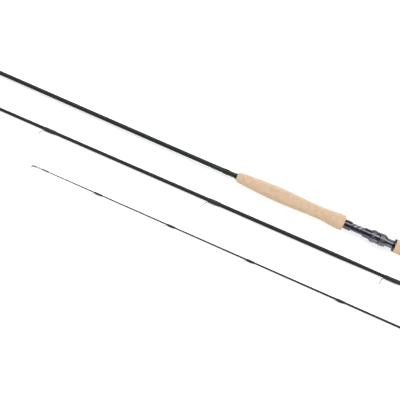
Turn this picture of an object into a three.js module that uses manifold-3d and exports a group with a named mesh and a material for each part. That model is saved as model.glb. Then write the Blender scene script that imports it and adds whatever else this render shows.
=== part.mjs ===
// A three-piece fly rod, 10 ft long when assembled, laid out in its three sections.
// Millimetres, +Z up. The sections lie side by side along X with their butt ends toward +X.
// Each section is modelled in a frame of its own: its thin end at x = 0, its axis along +X and
// its line guides hanging toward -Z, as when the rod is held. It is then rolled onto its side.
import * as THREE from 'three';
import { mergeVertices } from 'three/addons/utils/BufferGeometryUtils.js';
import Module from 'manifold-3d';

const wasm = await Module();
wasm.setup();

// ---------- driving dimensions ----------
const SECTION_LENGTH = 1056;
const FERRULE_OVERLAP = 60;
const FERRULE_CLEARANCE = 0.03;
const FERRULE_SPARE = 4;
const FERRULE_EASING = 30;
const GLUE_GAP = 0.3;
const CORK_GAP = 0.12;

// blank tapers: [distance from the thin end, outer radius]
const BUTT_TAPER = [[0, 3.05], [316, 3.5], [737, 4.05], [1037, 4.25]];
const MIDDLE_TAPER = [[0, 2.05], [300, 2.75], [904, 3.75], [SECTION_LENGTH, 3.98]];
const TIP_TAPER = [[0, 0.65], [55, 0.9], [658, 1.98], [SECTION_LENGTH, 2.8]];
const BUTT_WALL = 1.0;
const MIDDLE_WALL = 0.8;
const TIP_WALL = 0.4;

// handle, measured along the butt section
const GRIP_START = 737;
const CORK_RING = 12.7;
const CORK_BORE = 4.4;
const GRIP_RINGS = 15;
const GRIP_LENGTH = GRIP_RINGS * CORK_RING;
// radii at the front of the hand-shaped grip and where it is widest or narrowest:
// [distance from its front, radius]
const GRIP_STATIONS = [
  [0, 8.6], [80, 12.6], [140, 10.9], [150, 10.9], [184, 13.3], [GRIP_LENGTH, 12.9],
];
const GRIP_NOSE = 7;
const GRIP_NOSE_RADIUS = 6;
const CHECK_LENGTH = 3.4;
const CHECK_FRONT_RADIUS = 4.75;
const CHECK_REAR_RADIUS = 5.3;
const TRIM_LENGTH = 44;
const TRIM_THICKNESS = 0.25;
// a raised band of thread on the trim wrap, measured forward from the grip
const TRIM_BAND_NEAR = 13;
const TRIM_BAND_FAR = 23.4;
const TRIM_BAND_THICKNESS = 0.85;

// reel seat, measured from the rear face of the grip
const SEAT_START = GRIP_START + GRIP_LENGTH;
const SEAT_LENGTH = 91;
const HOOD_SOCKET = CORK_RING - 1;
const HOOD_SLEEVE_RADIUS = 7.4;
const HOOD_MOUTH = 13;
const HOOD_RADIUS = 8.2;
const HOOD_BORE = 7.75;
const INSERT_RADIUS = 6.9;
const INSERT_END = 49.7;
const SEAT_BORE = 4.6;
const REEL_FLAT_DEPTH = 5.6;
const REEL_FLAT_START = HOOD_MOUTH + GLUE_GAP;
const REEL_FLAT_END = 35.2;
const FOOT_RAMP_RISE = 0.7;
const SLIDING_HOOD_START = 35.5;
const SLIDING_HOOD_NOSE = 3;
const SLIDING_HOOD_END = 47.9;
const BARREL_START = 50;
const BARREL_RADIUS = 7.5;
const BARREL_BORE = 6.4;
const COLLAR_START = 86.9;
const COLLAR_FRONT_RADIUS = 9.4;
const COLLAR_RADIUS = 11.3;
const COLLAR_CHAMFER = 1.4;
const NUT_BORE = 7.8;
const NUT_RADIUS = 10.8;
const NUT_NECK_RADIUS = 10.2;
const NUT_NOTCHES = 12;
const NOTCH_DEPTH = 0.4;
const LOCK_NUT_START = 48.2;
const LOCK_NUT_NECK = 56;
const LOCK_NUT_END = 61.6;
const WASHER_END = 62.9;
const WASHER_RADIUS = 9.9;
const JAM_NUT_RADIUS = 10.6;
const JAM_NUT_NECK = 72.5;
const JAM_NUT_NECK_RADIUS = 9.8;
const JAM_NUT_END = 75;

// fighting butt
const FIGHTING_RINGS = 2;
const FIGHTING_START = SEAT_START + SEAT_LENGTH;
const FIGHTING_RADIUS = 11.6;
const CAP_START = FIGHTING_START + FIGHTING_RINGS * CORK_RING;
const CAP_RADIUS = 11.8;
const CAP_EDGE_RADIUS = 10.4;
const CAP_FACE_RADIUS = 9;
const CAP_ROUNDING = 4;
const CAP_EDGE_SETBACK = 1.2;

// thread and epoxy
const WRAP_THICKNESS = 0.45;
const WRAP_SEAT = 0.08;
const FOOT_WIDTH = 1.4;
const FOOT_THICKNESS = 0.7;
const FOOT_SEAT = 0.2;
const FOOT_SETBACK = 2;

// line guides: [distance from the section's thin end to the ring]
const TIP_GUIDES = [107, 237, 379, 540.3, 720, 919];
const MIDDLE_GUIDES = [140, 372.5, 665.5];
const MIDDLE_STRIPPING_GUIDE = 981;
const BUTT_STRIPPING_GUIDE = 274;

// their sizes: ring radius to the middle of its wire, wire radius, height of the ring's centre
// from the axis, lean of the ring toward the tip in degrees, how far the foot starts behind the
// ring, foot length
const TIP_RING = { radius: 2, wire: 0.45, height: 5.4, lean: 20, set: 2.2, foot: 14, sides: 12 };
const MIDDLE_RING = { radius: 2.9, wire: 0.55, height: 9.9, lean: 20, set: 2.9, foot: 21, sides: 12 };
const SECOND_RING = { radius: 5.6, wire: 0.7, height: 10.9, lean: 0, set: 2.2, foot: 27, sides: 24 };
const FIRST_RING = { radius: 7.9, wire: 0.75, height: 12.8, lean: 0, set: 3.4, foot: 24, sides: 24 };
// angle from the near side of the ring to where each leg meets it
const LEG_SPREAD = 0.8;
// thickness of a leg as a share of the ring's wire
const LEG_SHARE = 0.8;
const WRAP_SETBACK = 1.2;
const CERAMIC_HALF_WIDTH = 1.1;
const CERAMIC_THICKNESS = 1;
const CERAMIC_LIP = 0.35;

// tip-top, measured from the end of the blank
const TIP_TUBE_END = 15.5;
const TIP_TUBE_CAP = 0.8;
const TIP_TUBE_RADIUS = 1.2;
const TIP_TUBE_BORE = 0.95;
const TIP_BRACE_START = new THREE.Vector3(9.5, 0, -1);
const TIP_BRACE_RADIUS = 0.4;
// angle from the top of the loop to where each brace meets it
const TIP_BRACE_SPREAD = THREE.MathUtils.degToRad(127);
const TIP_LOOP_RADIUS = 2.3;
const TIP_LOOP_WIRE = 0.45;
const TIP_LOOP_SLANT = THREE.MathUtils.degToRad(32);
const TIP_LOOP_CENTRE = new THREE.Vector3(-1.6, 0, -1.9);
const TIP_WRAP_START = 15.9;
const TIP_WRAP_END = 28;

// wraps that reinforce the sockets of the ferrules
const FERRULE_WRAP_LENGTH = 32;
const FERRULE_WRAP_THICKNESS = 0.55;
const FERRULE_WRAP_SETBACK = 2;

// how the sections lie: the place of the thin end, the heading, the angle by which the guides
// are lifted off the surface, and how far from the thin end the section balances
const BUTT_LAY = { x: -737, y: 0, heading: 0, lift: 12, balance: 800 };
const MIDDLE_LAY = { x: -697, y: -55.1, heading: 0.12, lift: 14.5, balance: 600 };
const TIP_LAY = { x: -313, y: -117, heading: -0.197, lift: 14, balance: 620 };

// facets around the turned pieces
const SIDES = 24;
const CORK_SIDES = 20;
const BLANK_SIDES = 20;
const WRAP_SIDES = 16;
const LOOP_SIDES = 12;

// ---------- materials ----------
function finish(color, roughness, metalness) {
  return new THREE.MeshStandardMaterial({ color, roughness, metalness });
}

const blankFinish = () => finish(0x1c2221, 0.3, 0.1);
const threadFinish = () => finish(0x121614, 0.3, 0);
const trimFinish = () => finish(0x2a2620, 0.35, 0);
const corkFinish = () => finish(0xdfc19c, 0.85, 0);
const wireFinish = () => finish(0xa9adae, 0.3, 0.9);
const ringFinish = () => finish(0xc9cbd2, 0.2, 0.1);
const anodisedFinish = () => finish(0x22222e, 0.3, 0.8);
const insertFinish = () => finish(0x4a4854, 0.35, 0.1);
const plasticFinish = () => finish(0x1a1a1c, 0.6, 0);

// ---------- shapes ----------
function signedVolume(geometry) {
  const position = geometry.attributes.position;
  const index = geometry.index;
  const corner = [new THREE.Vector3(), new THREE.Vector3(), new THREE.Vector3()];
  let sum = 0;
  for (let i = 0; i < index.count; i += 3) {
    corner.forEach((point, k) => point.fromBufferAttribute(position, index.getX(i + k)));
    sum += corner[0].dot(corner[1].clone().cross(corner[2]));
  }
  return sum / 6;
}

// Welds a closed geometry, drops its collapsed triangles and turns its faces outward.
function weld(geometry) {
  geometry.deleteAttribute('normal');
  geometry.deleteAttribute('uv');
  const welded = mergeVertices(geometry, 1e-4);
  const kept = [];
  for (let i = 0; i < welded.index.count; i += 3) {
    const [a, b, c] = [0, 1, 2].map((k) => welded.index.getX(i + k));
    if (a !== b && b !== c && c !== a) {
      kept.push(a, b, c);
    }
  }
  welded.setIndex(kept);
  if (signedVolume(welded) < 0) {
    welded.setIndex(kept.reverse());
  }
  return welded;
}

function toManifold(geometry) {
  const welded = weld(geometry);
  const vertProperties = new Float32Array(welded.attributes.position.array);
  const triVerts = new Uint32Array(welded.index.array);
  return new wasm.Manifold(new wasm.Mesh({ numProp: 3, vertProperties, triVerts }));
}

function toGeometry(solid) {
  const mesh = solid.getMesh();
  const geometry = new THREE.BufferGeometry();
  geometry.setAttribute('position', new THREE.BufferAttribute(mesh.vertProperties, 3));
  geometry.setIndex(new THREE.BufferAttribute(mesh.triVerts, 1));
  return geometry;
}

function join(...geometries) {
  return toGeometry(geometries.map(toManifold).reduce((sum, solid) => sum.add(solid)));
}

function cut(geometry, ...cutters) {
  const whole = toManifold(geometry);
  return toGeometry(cutters.map(toManifold).reduce((rest, solid) => rest.subtract(solid), whole));
}

// Turns an outline of [x, radius] points about the X axis. The outline closes on itself.
function turned(outline, sides) {
  const closed = [...outline, outline[0]];
  const points = closed.map(([x, radius]) => new THREE.Vector2(radius, x));
  return weld(new THREE.LatheGeometry(points, sides).rotateZ(-Math.PI / 2));
}

function tube(start, end, outer, inner, sides) {
  return turned([[start, inner], [start, outer], [end, outer], [end, inner]], sides);
}

function rod(start, end, radius, sides) {
  return new THREE.CylinderGeometry(radius, radius, end - start, sides)
    .rotateZ(-Math.PI / 2)
    .translate((start + end) / 2, 0, 0);
}

function bar(start, end, width, top, bottom) {
  return new THREE.BoxGeometry(end - start, width, top - bottom)
    .translate((start + end) / 2, 0, (top + bottom) / 2);
}

function strut(from, to, radius) {
  const along = new THREE.Vector3().subVectors(to, from);
  const up = new THREE.Vector3(0, 1, 0);
  const turn = new THREE.Quaternion().setFromUnitVectors(up, along.clone().normalize());
  return new THREE.CylinderGeometry(radius, radius, along.length(), 6)
    .applyQuaternion(turn)
    .translate(...from.clone().addScaledVector(along, 0.5).toArray());
}

// A ring about the X axis, of round wire.
function wireRing(radius, wire, sides) {
  const section = [];
  const corners = 5;
  for (let i = 0; i < corners; i += 1) {
    const angle = (2 * Math.PI * i) / corners;
    section.push([wire * Math.cos(angle), radius + wire * Math.sin(angle)]);
  }
  return turned(section, sides);
}

// A ring with grip teeth around it, extruded along X.
function knurled(start, end, radius, depth, teeth, bore) {
  const outline = [];
  const steps = teeth * 4;
  for (let i = 0; i < steps; i += 1) {
    const angle = (2 * Math.PI * i) / steps;
    const reach = i % 4 < 2 ? radius : radius - depth;
    outline.push(new THREE.Vector2(reach * Math.cos(angle), reach * Math.sin(angle)));
  }
  const shape = new THREE.Shape(outline);
  shape.holes.push(new THREE.Path().absarc(0, 0, bore, 0, 2 * Math.PI, true));
  const settings = { depth: end - start, bevelEnabled: false, curveSegments: 12 };
  return new THREE.ExtrudeGeometry(shape, settings).rotateY(Math.PI / 2).translate(start, 0, 0);
}

// ---------- profiles ----------
function taperAt(taper, x) {
  const next = taper.findIndex(([at]) => at >= x);
  const [x1, r1] = taper[Math.max(next, 1)];
  const [x0, r0] = taper[Math.max(next, 1) - 1];
  return r0 + ((r1 - r0) * (x - x0)) / (x1 - x0);
}

function gripRadius(x) {
  const next = Math.max(GRIP_STATIONS.findIndex(([at]) => at >= x), 1);
  const [x1, r1] = GRIP_STATIONS[next];
  const [x0, r0] = GRIP_STATIONS[next - 1];
  const share = (x - x0) / (x1 - x0);
  const opening = Math.sin((Math.PI * share) / 2);
  const blend = next === 1 ? opening : (1 - Math.cos(Math.PI * share)) / 2;
  const radius = r0 + (r1 - r0) * blend;
  if (x >= GRIP_NOSE) {
    return radius;
  }
  const rise = Math.sqrt(1 - (1 - x / GRIP_NOSE) ** 2);
  return GRIP_NOSE_RADIUS + (radius - GRIP_NOSE_RADIUS) * rise;
}

// ---------- sub-parts ----------
const rodGroup = new THREE.Group();
const buttSection = new THREE.Group();
const middleSection = new THREE.Group();
const tipSection = new THREE.Group();

function addPart(section, name, geometry, material) {
  const mesh = new THREE.Mesh(geometry, material);
  mesh.name = name;
  section.add(mesh);
}

// The bore of a section that slips over the section below it, thick end first.
function socketBore(maleTaper, wall, taper) {
  const mouth = taperAt(maleTaper, FERRULE_OVERLAP) + FERRULE_CLEARANCE;
  const depth = FERRULE_OVERLAP + FERRULE_SPARE;
  const bottom = maleTaper[0][1] + FERRULE_CLEARANCE;
  const above = SECTION_LENGTH - depth - FERRULE_EASING;
  return [
    [SECTION_LENGTH, mouth],
    [SECTION_LENGTH - depth, bottom],
    [above, taperAt(taper, above) - wall],
    [0, taper[0][1] - wall],
  ];
}

function addBlanks() {
  const end = BUTT_TAPER.at(-1)[0];
  const bore = [[end, BUTT_TAPER.at(-1)[1] - BUTT_WALL], [0, BUTT_TAPER[0][1] - BUTT_WALL]];
  const middleBore = socketBore(BUTT_TAPER, MIDDLE_WALL, MIDDLE_TAPER);
  const tipBore = socketBore(MIDDLE_TAPER, TIP_WALL, TIP_TAPER);
  addPart(buttSection, 'butt_blank', turned([...BUTT_TAPER, ...bore], BLANK_SIDES), blankFinish());
  const middleBlank = turned([...MIDDLE_TAPER, ...middleBore], BLANK_SIDES);
  const tipBlank = turned([...TIP_TAPER, ...tipBore], WRAP_SIDES);
  addPart(middleSection, 'middle_blank', middleBlank, blankFinish());
  addPart(tipSection, 'tip_blank', tipBlank, blankFinish());
}

// A sleeve of wound thread under epoxy, following the blank's taper. Its outer steps are
// [distance from the thin end, thickness].
function plainWrap(taper, steps) {
  const start = steps[0][0];
  const end = steps.at(-1)[0];
  return turned([
    [start, taperAt(taper, start) + WRAP_SEAT],
    ...steps.map(([x, thickness]) => [x, taperAt(taper, x) + thickness]),
    [end, taperAt(taper, end) + WRAP_SEAT],
  ], WRAP_SIDES);
}

// The wrap over a guide's foot: a sleeve round the blank with a ridge where the foot lies.
function footWrap(taper, start, end) {
  const radius = taperAt(taper, end);
  const footTop = -(radius + FOOT_SEAT);
  const footBottom = footTop - FOOT_THICKNESS;
  const sleeve = rod(start, end, radius + FOOT_SEAT + WRAP_THICKNESS, WRAP_SIDES);
  const ridge = bar(start, end, FOOT_WIDTH + 2 * WRAP_THICKNESS, 0, footBottom - WRAP_THICKNESS);
  const bore = rod(start - 1, end + 1, radius + WRAP_SEAT, WRAP_SIDES);
  const slot = bar(start - 1, end + 1, FOOT_WIDTH + GLUE_GAP, 0, footBottom - GLUE_GAP / 2);
  return cut(join(sleeve, ridge), bore, slot);
}

// A ring held out from the blank by two legs that run into one flat foot.
function guideFrame(taper, x, size) {
  const { radius, wire, height, lean, set, foot, sides } = size;
  const footStart = x + set;
  const surface = taperAt(taper, footStart + foot);
  const footTop = -(surface + FOOT_SEAT);
  const tilt = THREE.MathUtils.degToRad(lean);
  const centre = new THREE.Vector3(x, 0, -height);
  const ring = wireRing(radius, wire, sides).rotateY(tilt).translate(...centre.toArray());
  const nose = new THREE.Vector3(footStart + FOOT_THICKNESS, 0, footTop - FOOT_THICKNESS / 2);
  const legs = [-LEG_SPREAD, LEG_SPREAD].map((angle) => {
    const onRing = new THREE.Vector3(0, radius * Math.sin(angle), radius * Math.cos(angle))
      .applyAxisAngle(new THREE.Vector3(0, 1, 0), tilt)
      .add(centre);
    return strut(nose, onRing, wire * LEG_SHARE);
  });
  const footEnd = footStart + foot - FOOT_SETBACK;
  const base = bar(footStart, footEnd, FOOT_WIDTH, footTop, footTop - FOOT_THICKNESS);
  return join(ring, base, ...legs);
}

function addRunningGuide(section, taper, name, x, size) {
  addPart(section, name, guideFrame(taper, x, size), wireFinish());
  const wrapStart = x + size.set + WRAP_SETBACK;
  addPart(section, `${name}_wrap`, footWrap(taper, wrapStart, wrapStart + size.foot), threadFinish());
}

// A stripping guide: a wider frame ring that holds a ceramic ring with rounded lips.
function addStrippingGuide(section, taper, name, x, size) {
  addRunningGuide(section, taper, name, x, size);
  const outer = size.radius - size.wire - GLUE_GAP / 2;
  const inner = outer - CERAMIC_THICKNESS;
  const half = CERAMIC_HALF_WIDTH;
  const ceramic = turned([
    [x - half, inner], [x - half, outer - CERAMIC_LIP], [x - half + CERAMIC_LIP, outer],
    [x + half - CERAMIC_LIP, outer], [x + half, outer - CERAMIC_LIP], [x + half, inner],
  ], size.sides).translate(0, 0, -size.height);
  addPart(section, `${name}_ring`, ceramic, ringFinish());
}

function addGuides() {
  const [first, second] = ['stripping_guide_1', 'stripping_guide_2'];
  addStrippingGuide(buttSection, BUTT_TAPER, first, BUTT_STRIPPING_GUIDE, FIRST_RING);
  addStrippingGuide(middleSection, MIDDLE_TAPER, second, MIDDLE_STRIPPING_GUIDE, SECOND_RING);
  MIDDLE_GUIDES.forEach((x, i) => {
    addRunningGuide(middleSection, MIDDLE_TAPER, `middle_guide_${i + 1}`, x, MIDDLE_RING);
  });
  TIP_GUIDES.forEach((x, i) => {
    addRunningGuide(tipSection, TIP_TAPER, `tip_guide_${i + 1}`, x, TIP_RING);
  });
}

// The tip-top: a tube over the end of the blank, with a loop braced under it.
function addTipTop() {
  const sleeve = rod(-TIP_TUBE_CAP, TIP_TUBE_END, TIP_TUBE_RADIUS, LOOP_SIDES);
  const loop = wireRing(TIP_LOOP_RADIUS, TIP_LOOP_WIRE, LOOP_SIDES)
    .rotateY(TIP_LOOP_SLANT)
    .translate(...TIP_LOOP_CENTRE.toArray());
  const braces = [-TIP_BRACE_SPREAD, TIP_BRACE_SPREAD].map((angle) => {
    const onLoop = new THREE.Vector3(0, Math.sin(angle), Math.cos(angle))
      .multiplyScalar(TIP_LOOP_RADIUS)
      .applyAxisAngle(new THREE.Vector3(0, 1, 0), TIP_LOOP_SLANT)
      .add(TIP_LOOP_CENTRE);
    return strut(TIP_BRACE_START, onLoop, TIP_BRACE_RADIUS);
  });
  const bore = rod(-GLUE_GAP, TIP_TUBE_END + 1, TIP_TUBE_BORE, LOOP_SIDES);
  addPart(tipSection, 'tip_top', cut(join(sleeve, loop, ...braces), bore), wireFinish());
  const steps = [[TIP_WRAP_START, WRAP_THICKNESS], [TIP_WRAP_END, WRAP_THICKNESS]];
  addPart(tipSection, 'tip_top_wrap', plainWrap(TIP_TAPER, steps), threadFinish());
}

function addFerruleWraps() {
  const end = SECTION_LENGTH - FERRULE_WRAP_SETBACK;
  const start = end - FERRULE_WRAP_LENGTH;
  const steps = [[start, FERRULE_WRAP_THICKNESS], [end, FERRULE_WRAP_THICKNESS]];
  addPart(middleSection, 'middle_ferrule_wrap', plainWrap(MIDDLE_TAPER, steps), threadFinish());
  addPart(tipSection, 'tip_ferrule_wrap', plainWrap(TIP_TAPER, steps), threadFinish());
}

function corkRing(start, end, bore) {
  const steps = start < GRIP_NOSE ? 5 : 2;
  const outline = [];
  for (let i = 0; i <= steps; i += 1) {
    const x = start + ((end - start) * i) / steps;
    outline.push([GRIP_START + x, gripRadius(x)]);
  }
  return turned([[GRIP_START + start, bore], ...outline, [GRIP_START + end, bore]], CORK_SIDES);
}

function addGrip() {
  const checkStart = GRIP_START - CHECK_LENGTH;
  const bandStart = GRIP_START - TRIM_BAND_FAR;
  const bandEnd = GRIP_START - TRIM_BAND_NEAR;
  const bandSlope = 1;
  const trim = plainWrap(BUTT_TAPER, [
    [GRIP_START - TRIM_LENGTH, TRIM_THICKNESS], [bandStart, TRIM_THICKNESS],
    [bandStart + bandSlope, TRIM_BAND_THICKNESS], [bandEnd - bandSlope, TRIM_BAND_THICKNESS],
    [bandEnd, TRIM_THICKNESS], [checkStart - GLUE_GAP, TRIM_THICKNESS],
  ]);
  addPart(buttSection, 'trim_wrap', trim, trimFinish());
  const check = turned([
    [checkStart, CORK_BORE], [checkStart, CHECK_FRONT_RADIUS],
    [GRIP_START - CORK_GAP, CHECK_REAR_RADIUS], [GRIP_START - CORK_GAP, CORK_BORE],
  ], SIDES);
  addPart(buttSection, 'winding_check', check, anodisedFinish());
  for (let i = 0; i < GRIP_RINGS; i += 1) {
    const start = i * CORK_RING + CORK_GAP / 2;
    const end = (i + 1) * CORK_RING - CORK_GAP / 2;
    const bore = i === GRIP_RINGS - 1 ? HOOD_SLEEVE_RADIUS + GLUE_GAP : CORK_BORE;
    const number = String(i + 1).padStart(2, '0');
    addPart(buttSection, `grip_ring_${number}`, corkRing(start, end, bore), corkFinish());
  }
}

// The hood fixed in the rear of the grip. Its pocket takes the front of the reel foot.
function fixedHood() {
  const front = CORK_GAP;
  const edge = 0.6;
  const lip = 0.2;
  const pocketEnd = 0.6;
  return turned([
    [-HOOD_SOCKET, SEAT_BORE], [-HOOD_SOCKET, HOOD_SLEEVE_RADIUS], [front, HOOD_SLEEVE_RADIUS],
    [front, HOOD_RADIUS - edge], [front + edge, HOOD_RADIUS],
    [HOOD_MOUTH - edge, HOOD_RADIUS + lip], [HOOD_MOUTH, HOOD_RADIUS], [HOOD_MOUTH, HOOD_BORE],
    [pocketEnd, HOOD_BORE], [pocketEnd, SEAT_BORE],
  ].map(([x, radius]) => [x + SEAT_START, radius]), SIDES);
}

// The insert that the reel foot sits on: a cylinder with a milled flat, ramped under the hoods.
function seatInsert() {
  const body = tube(SEAT_START + 1, SEAT_START + INSERT_END, INSERT_RADIUS, SEAT_BORE, SIDES);
  const outline = new THREE.Shape([
    [0, -REEL_FLAT_DEPTH - FOOT_RAMP_RISE], [REEL_FLAT_START, -REEL_FLAT_DEPTH],
    [REEL_FLAT_END, -REEL_FLAT_DEPTH], [INSERT_END + 1, -REEL_FLAT_DEPTH - FOOT_RAMP_RISE],
    [INSERT_END + 1, -HOOD_RADIUS], [0, -HOOD_RADIUS],
  ].map(([x, z]) => new THREE.Vector2(x, z)));
  const width = 2 * INSERT_RADIUS;
  const mill = new THREE.ExtrudeGeometry(outline, { depth: width, bevelEnabled: false })
    .translate(SEAT_START, 0, -width / 2)
    .rotateX(Math.PI / 2);
  return cut(body, mill);
}

// The hood that the nuts drive over the rear of the reel foot.
function slidingHood() {
  const flangeRadius = 9;
  const flangeStart = SLIDING_HOOD_END - 1.5;
  const noseRadius = HOOD_BORE + 0.25;
  return turned([
    [SLIDING_HOOD_START, HOOD_BORE], [SLIDING_HOOD_START, noseRadius],
    [SLIDING_HOOD_START + SLIDING_HOOD_NOSE, HOOD_RADIUS], [flangeStart - 0.5, HOOD_RADIUS],
    [flangeStart, flangeRadius], [SLIDING_HOOD_END, flangeRadius], [SLIDING_HOOD_END, HOOD_BORE],
  ].map(([x, radius]) => [x + SEAT_START, radius]), SIDES);
}

// A nut with a notched grip band at its front and a plain smaller neck behind it.
function nut(start, neckStart, end, radius, neckRadius) {
  const shoulder = SEAT_START + neckStart;
  const overlap = 0.5;
  const band = knurled(SEAT_START + start, shoulder, radius, NOTCH_DEPTH, NUT_NOTCHES, NUT_BORE);
  const neck = tube(shoulder - overlap, SEAT_START + end, neckRadius, NUT_BORE, SIDES);
  return join(band, neck);
}

function addNuts() {
  const washerStart = SEAT_START + LOCK_NUT_END + GLUE_GAP;
  const washerEnd = SEAT_START + WASHER_END;
  const jamStart = WASHER_END + GLUE_GAP;
  const lockNut = nut(LOCK_NUT_START, LOCK_NUT_NECK, LOCK_NUT_END, NUT_RADIUS, NUT_NECK_RADIUS);
  const jamNut = nut(jamStart, JAM_NUT_NECK, JAM_NUT_END, JAM_NUT_RADIUS, JAM_NUT_NECK_RADIUS);
  const washer = tube(washerStart, washerEnd, WASHER_RADIUS, NUT_BORE, SIDES);
  addPart(buttSection, 'lock_nut', lockNut, anodisedFinish());
  addPart(buttSection, 'slip_washer', washer, plasticFinish());
  addPart(buttSection, 'jam_nut', jamNut, anodisedFinish());
}

function endCollar() {
  const rear = SEAT_LENGTH - CORK_GAP;
  return turned([
    [COLLAR_START, SEAT_BORE], [COLLAR_START, COLLAR_FRONT_RADIUS],
    [COLLAR_START + COLLAR_CHAMFER, COLLAR_RADIUS], [rear, COLLAR_RADIUS], [rear, SEAT_BORE],
  ].map(([x, radius]) => [x + SEAT_START, radius]), SIDES);
}

function addReelSeat() {
  const barrelStart = SEAT_START + BARREL_START;
  const barrelEnd = SEAT_START + COLLAR_START - GLUE_GAP;
  const arbor = tube(barrelStart, barrelEnd, BARREL_BORE - GLUE_GAP, SEAT_BORE, CORK_SIDES);
  const barrel = tube(barrelStart, barrelEnd, BARREL_RADIUS, BARREL_BORE, SIDES);
  addPart(buttSection, 'fixed_hood', fixedHood(), anodisedFinish());
  addPart(buttSection, 'seat_insert', seatInsert(), insertFinish());
  addPart(buttSection, 'seat_arbor', arbor, plasticFinish());
  addPart(buttSection, 'threaded_barrel', barrel, anodisedFinish());
  addPart(buttSection, 'sliding_hood', slidingHood(), anodisedFinish());
  addNuts();
  addPart(buttSection, 'end_collar', endCollar(), anodisedFinish());
}

function addFightingButt() {
  for (let i = 0; i < FIGHTING_RINGS; i += 1) {
    const start = FIGHTING_START + i * CORK_RING + CORK_GAP / 2;
    const end = start + CORK_RING - CORK_GAP;
    const ring = turned([
      [start, SEAT_BORE], [start, FIGHTING_RADIUS], [end, CAP_RADIUS], [end, SEAT_BORE],
    ], CORK_SIDES);
    addPart(buttSection, `fighting_butt_ring_${i + 1}`, ring, corkFinish());
  }
  const spigot = 4;
  const spigotRadius = SEAT_BORE - GLUE_GAP;
  const shoulder = CAP_START + CORK_GAP;
  const capPoints = [
    [CAP_START - spigot, 0], [CAP_START - spigot, spigotRadius], [shoulder, spigotRadius],
    [shoulder, CAP_RADIUS], [SECTION_LENGTH - CAP_ROUNDING, CAP_RADIUS],
    [SECTION_LENGTH - CAP_EDGE_SETBACK, CAP_EDGE_RADIUS], [SECTION_LENGTH, CAP_FACE_RADIUS],
    [SECTION_LENGTH, 0],
  ];
  const points = capPoints.map(([x, radius]) => new THREE.Vector2(radius, x));
  const cap = weld(new THREE.LatheGeometry(points, CORK_SIDES).rotateZ(-Math.PI / 2));
  addPart(buttSection, 'butt_cap', cap, plasticFinish());
}

// ---------- laying the sections out ----------
// The slope of the line that a section rests on once it is rolled onto its side: the edge of
// its lower outline that passes under its balance point.
function restingSlope(section, balance) {
  const points = [];
  for (const mesh of section.children) {
    const position = mesh.geometry.attributes.position;
    for (let i = 0; i < position.count; i += 1) {
      points.push(new THREE.Vector3().fromBufferAttribute(position, i).applyEuler(section.rotation));
    }
  }
  points.sort((a, b) => a.x - b.x || a.z - b.z);
  const hull = [];
  const turnsDown = (a, b, c) => (b.x - a.x) * (c.z - a.z) - (b.z - a.z) * (c.x - a.x) <= 0;
  for (const point of points) {
    while (hull.length > 1 && turnsDown(hull.at(-2), hull.at(-1), point)) {
      hull.pop();
    }
    hull.push(point);
  }
  const right = hull.findIndex((point) => point.x > balance);
  return (hull[right].z - hull[right - 1].z) / (hull[right].x - hull[right - 1].x);
}

// Rolls a section onto its side, lets it tip onto its two points of support and sets it on z = 0.
function layDown(section, lay) {
  const roll = -Math.PI / 2 - THREE.MathUtils.degToRad(lay.lift);
  section.rotation.set(roll, 0, 0, 'ZYX');
  const tilt = Math.atan(restingSlope(section, lay.balance));
  section.rotation.set(roll, tilt, THREE.MathUtils.degToRad(lay.heading), 'ZYX');
  section.position.set(lay.x, lay.y, 0);
  section.updateMatrixWorld(true);
  section.position.z -= new THREE.Box3().setFromObject(section, true).min.z;
  rodGroup.add(section);
}

addBlanks();
addGuides();
addTipTop();
addFerruleWraps();
addGrip();
addReelSeat();
addFightingButt();

layDown(buttSection, BUTT_LAY);
layDown(middleSection, MIDDLE_LAY);
layDown(tipSection, TIP_LAY);

// The origin is under the middle of the whole layout, on the surface it lies on.
rodGroup.updateMatrixWorld(true);
const layout = new THREE.Box3().setFromObject(rodGroup, true);
const centre = layout.getCenter(new THREE.Vector3());
for (const section of [buttSection, middleSection, tipSection]) {
  section.position.x -= centre.x;
  section.position.y -= centre.y;
}

export default rodGroup;
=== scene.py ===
"""A three-piece fly rod laid out in its sections on a pale surface, seen from straight above."""
import math

import bpy
from mathutils import Matrix, Vector, noise


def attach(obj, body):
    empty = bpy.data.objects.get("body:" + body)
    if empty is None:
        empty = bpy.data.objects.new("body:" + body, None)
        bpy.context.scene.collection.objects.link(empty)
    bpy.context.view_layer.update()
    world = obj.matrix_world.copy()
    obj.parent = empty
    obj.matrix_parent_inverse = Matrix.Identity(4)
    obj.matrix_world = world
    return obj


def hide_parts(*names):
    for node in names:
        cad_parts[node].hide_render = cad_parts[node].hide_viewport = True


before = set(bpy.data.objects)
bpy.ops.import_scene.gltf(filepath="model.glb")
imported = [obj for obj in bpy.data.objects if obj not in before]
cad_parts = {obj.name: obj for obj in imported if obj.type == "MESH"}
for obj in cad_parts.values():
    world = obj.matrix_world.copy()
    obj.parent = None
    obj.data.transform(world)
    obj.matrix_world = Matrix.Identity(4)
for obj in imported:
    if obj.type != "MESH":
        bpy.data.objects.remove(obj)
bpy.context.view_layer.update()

MM = 0.001
TAU = 2 * math.pi
DOWN = -math.pi / 2     # the angle round a section's axis at which its guides hang

# the camera, in metres: the width of its view, its height above the grip's axis, the turn of its
# picture, and where it stands along X and along Y from the front of the grip
VIEW_WIDTH = 0.6535
VIEW_DISTANCE = 3.2
VIEW_TURN = math.radians(23.65)
VIEW_PAST_GRIP = -0.0399
VIEW_BESIDE_GRIP = -0.0595

# the studio's light round the X axis: (degrees from straight up towards +Y, brightness)
STUDIO_PEAK = 8.0
STUDIO = [
    (-90, 0.5), (-80, 2.4), (-58, 2.4), (-50, 0.5), (-40, 0.1), (8, 0.1), (15, 0.5), (21, 4.6),
    (45, 4.6), (52, 0.2), (58, 0.04), (90, 0.1),
]


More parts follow.
